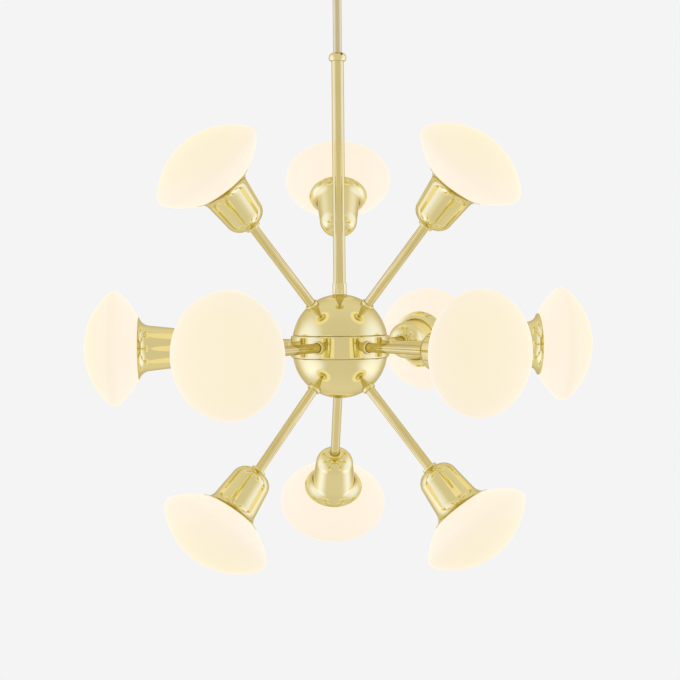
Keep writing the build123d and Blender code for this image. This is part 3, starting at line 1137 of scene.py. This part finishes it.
@dataclass
class Shades:
    """The discus shaped glass shades, hollow, each with a neck that enters its bell."""

    stations: list[Station]
    reach: float = 0.2517
    radius: float = 0.064
    half_depth: float = 0.034
    face_radius: float = 0.082
    wall: float = 0.003
    neck_radius: float = 0.020
    neck_length: float = 0.014
    seat_radius: float = 0.0349

    def glass(self) -> bmesh.types.BMesh:
        """One shade: two shallow domes, the rounded edge tangent to both, the neck and the inside.

        Returns:
            The mesh along +Z.
        """
        mid = self.reach
        offset = self.face_radius - self.half_depth
        edge = (self.face_radius**2 - offset**2 - self.radius**2) / (2.0 * (self.face_radius - self.radius))
        share = self.face_radius / (self.face_radius - edge)
        edge_radius, edge_height = share * (self.radius - edge), offset * (share - 1.0)
        seat = offset - math.sqrt(self.face_radius**2 - self.seat_radius**2)
        inner = self.face_radius - self.wall
        floor = seat + self.wall
        floor_radius = math.sqrt(inner**2 - (offset - floor) ** 2)
        inner_share = inner / self.face_radius
        bore = self.neck_radius - self.wall
        tangent = (inner_share * edge_radius, (edge_height + offset) * inner_share - offset)
        ring = (self.radius - edge, mid)
        neck_end = mid + seat - self.neck_length
        shape = Outline(0.0, mid + self.half_depth)
        shape.arc((0.0, mid - offset), (edge_radius, mid + edge_height), steps=30)
        shape.arc(ring, (edge_radius, mid - edge_height), steps=16)
        shape.arc((0.0, mid + offset), (self.seat_radius, mid + seat), steps=16)
        shape.line(
            (self.neck_radius, mid + seat), (self.neck_radius, neck_end), (bore, neck_end),
            (bore, mid + floor), (floor_radius, mid + floor),
        )
        shape.arc((0.0, mid + offset), (tangent[0], mid - tangent[1]), steps=10)
        shape.arc(ring, (tangent[0], mid + tangent[1]), steps=10)
        shape.arc((0.0, mid - offset), (0.0, mid - offset + inner), steps=20)
        return shape.turn(steps=128)

    def build(self) -> None:
        """Builds each shade on its own body."""
        for station in self.stations:
            mesh = placed(self.glass(), [station.place()])
            name = f"shade_{station.name}"
            piece(name, mesh, OPAL, name, [f"glass_{name}"])


@dataclass
class Studio:
    """The plain pale studio: floor, even light, soft light from both sides, and the camera."""

    floor_drop: float = 1.9
    floor_radius: float = 2.2
    pale: float = 0.905
    dim: float = 0.72
    back: float = 0.80
    lobe: float = 0.34
    low_lobe: float = 0.28
    depth_band: tuple[float, float] = (-0.9, 0.55)
    side_band: tuple[float, float] = (0.62, 1.0)
    low_side_band: tuple[float, float] = (0.5, 0.8)
    low_band: tuple[float, float] = (0.2, 0.6)
    warm: Colour = (1.05, 0.97, 0.94)
    cool: Colour = (0.97, 1.0, 1.55)
    fill: float = 0.5
    floor_light: Colour = (0.84, 0.84, 0.84)
    floor_dark: Colour = (0.80, 0.80, 0.80)
    floor_glow: float = 0.6
    floor_fade: tuple[float, float] = (0.3, 1.6)
    lamp_size: tuple[float, float] = (1.6, 1.8)
    lamp_energy: float = 1.6
    lamp_side: float = 2.0
    lamp_back: float = 0.2
    lamp_rise: float = 0.3
    lens: float = 81.96
    sensor: float = 36.0
    clip: tuple[float, float] = (0.01, 100.0)
    distance: float = 1.742
    azimuth: float = -3.78
    elevation: float = 2.28
    aim: float = 0.00695
    roll: float = 0.5

    def light(self) -> None:
        """Makes the world: pale behind the object, dimmer in front, brighter at both sides."""
        world = bpy.data.worlds.new("studio")
        world.use_nodes = True
        bpy.context.scene.world = world
        shader = Shader(world.node_tree)
        split = shader.node(
            "ShaderNodeSeparateXYZ", None, {0: shader.wire("ShaderNodeTexCoord", "Generated")},
        )
        x, y, z = [Wire(shader, split.outputs[part]) for part in range(3)]
        sides = abs(x).ramp(*self.side_band)
        below = abs(x).ramp(*self.low_side_band) * (0.0 - z).ramp(*self.low_band)
        level = self.dim + (self.back - self.dim) * y.ramp(*self.depth_band)
        level = level + self.lobe * sides + self.low_lobe * below
        seen, mirrored = self.rays(shader)
        strength = seen * self.pale + (1.0 - seen) * level * (self.fill + (1.0 - self.fill) * mirrored)
        cool = sides.math("MAXIMUM", sides, below)
        tint = shader.blend(seen, shader.blend(cool, self.warm, self.cool), (1.0, 1.0, 1.0))
        sky = shader.node("ShaderNodeBackground", None, {"Color": tint, "Strength": strength})
        shader.node("ShaderNodeOutputWorld", None, {"Surface": sky.outputs[0]})

    def floor(self) -> None:
        """Makes the floor, far below, which fades into the pale surroundings."""
        mesh = bmesh.new()
        bmesh.ops.create_circle(mesh, cap_ends=True, segments=96, radius=self.floor_radius)
        bmesh.ops.translate(mesh, vec=(0.0, 0.0, -self.floor_drop), verts=mesh.verts[:])
        data = bpy.data.meshes.new("floor")
        mesh.to_mesh(data)
        mesh.free()
        made = bpy.data.objects.new("floor", data)
        bpy.context.scene.collection.objects.link(made)
        paint = bpy.data.materials.new("pale_floor")
        paint.use_nodes = True
        shader = Shader(paint.node_tree)
        place = shader.objects()
        grain = shader.noise(place, scale=3.0, detail=4.0)
        tone = shader.blend(grain, self.floor_light, self.floor_dark)
        matt = shader.node("ShaderNodeBsdfDiffuse", None, {"Color": tone})
        glow = shader.node("ShaderNodeEmission", None, {"Strength": self.pale})
        split = shader.node("ShaderNodeSeparateXYZ", None, {0: place})
        x, y = Wire(shader, split.outputs[0]), Wire(shader, split.outputs[1])
        far = x.math("SQRT", x * x + y * y).ramp(*self.floor_fade)
        seen, mirrored = self.rays(shader)
        share = seen.math("MAXIMUM", seen, mirrored) * (self.floor_glow + (1.0 - self.floor_glow) * far)
        both = shader.node("ShaderNodeMixShader", None, {0: share, 1: matt.outputs[0], 2: glow.outputs[0]})
        shader.node("ShaderNodeOutputMaterial", None, {"Surface": both.outputs[0]})
        data.materials.append(paint)
        made.visible_glossy = False
        made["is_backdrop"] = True

    def rays(self, shader: Shader) -> tuple[Wire, Wire]:
        """Tells rays that show the surroundings from those that only carry their light.

        Args:
            shader: the node builder.

        Returns:
            1 for what the camera sees itself, and 1 for what it sees in a gloss or through a glass.
        """
        path = shader.node("ShaderNodeLightPath")
        names = ("Is Camera Ray", "Is Glossy Ray", "Is Transmission Ray")
        seen, gloss, glass = [Wire(shader, path.outputs[name]) for name in names]
        return seen, gloss.math("MAXIMUM", gloss, glass)

    def lamps(self) -> None:
        """Hangs a soft lamp at either side."""
        for side in (-1.0, 1.0):
            lamp = bpy.data.lights.new(f"side_lamp_{side:+.0f}", "AREA")
            lamp.shape = "RECTANGLE"
            lamp.size, lamp.size_y = self.lamp_size
            lamp.energy = self.lamp_energy
            made = bpy.data.objects.new(lamp.name, lamp)
            made.location = (side * self.lamp_side, self.lamp_back, HUB.z + self.lamp_rise)
            made.rotation_euler = (Vector(made.location) - HUB).to_track_quat("Z", "Y").to_euler()
            made.visible_camera = False
            made.visible_glossy = False
            bpy.context.scene.collection.objects.link(made)

    def camera(self) -> None:
        """Sets the camera at the photograph's viewing angle."""
        data = bpy.data.cameras.new("camera")
        data.lens, data.sensor_width = self.lens, self.sensor
        data.clip_start, data.clip_end = self.clip
        made = bpy.data.objects.new("camera", data)
        turn, rise = math.radians(self.azimuth), math.radians(self.elevation)
        back = Vector((math.sin(turn) * math.cos(rise), -math.cos(turn) * math.cos(rise), math.sin(rise)))
        made.location = HUB + back * self.distance
        target = HUB + Vector((0.0, 0.0, self.aim))
        level = (made.location - target).to_track_quat("Z", "Y").to_matrix()
        made.rotation_euler = (level @ Matrix.Rotation(math.radians(-self.roll), 3, "Z")).to_euler()
        bpy.context.scene.collection.objects.link(made)
        bpy.context.scene.camera = made

    def build(self) -> None:
        """Makes the whole studio."""
        self.light()
        self.floor()
        self.lamps()
        self.camera()
        bpy.context.scene.view_settings.view_transform = "Standard"


def corners() -> list[list[float]]:
    """The shown object's lowest and highest corner as plain lists."""
    return [list(corner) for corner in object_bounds()]


def main() -> None:
    """Builds the chandelier's looks in order."""
    logging.basicConfig(level=logging.INFO, format="%(name)s %(message)s")
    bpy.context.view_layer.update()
    stations = [station for tier in Tier for station in tier.stations()]
    studio = Studio()
    studio.build()
    mount = CeilingMount()
    mount.build()
    mount.dress()
    stem = Stem()
    stem.build()
    stem.dress()
    hub = BallHub()
    hub.build()
    hub.dress()
    Arms(stations).build()
    bells = BellCups(stations)
    bells.build()
    bells.dress()
    Shades(stations).build()
    log.info("chandelier dressed")


if __name__ == "__main__":
    main()
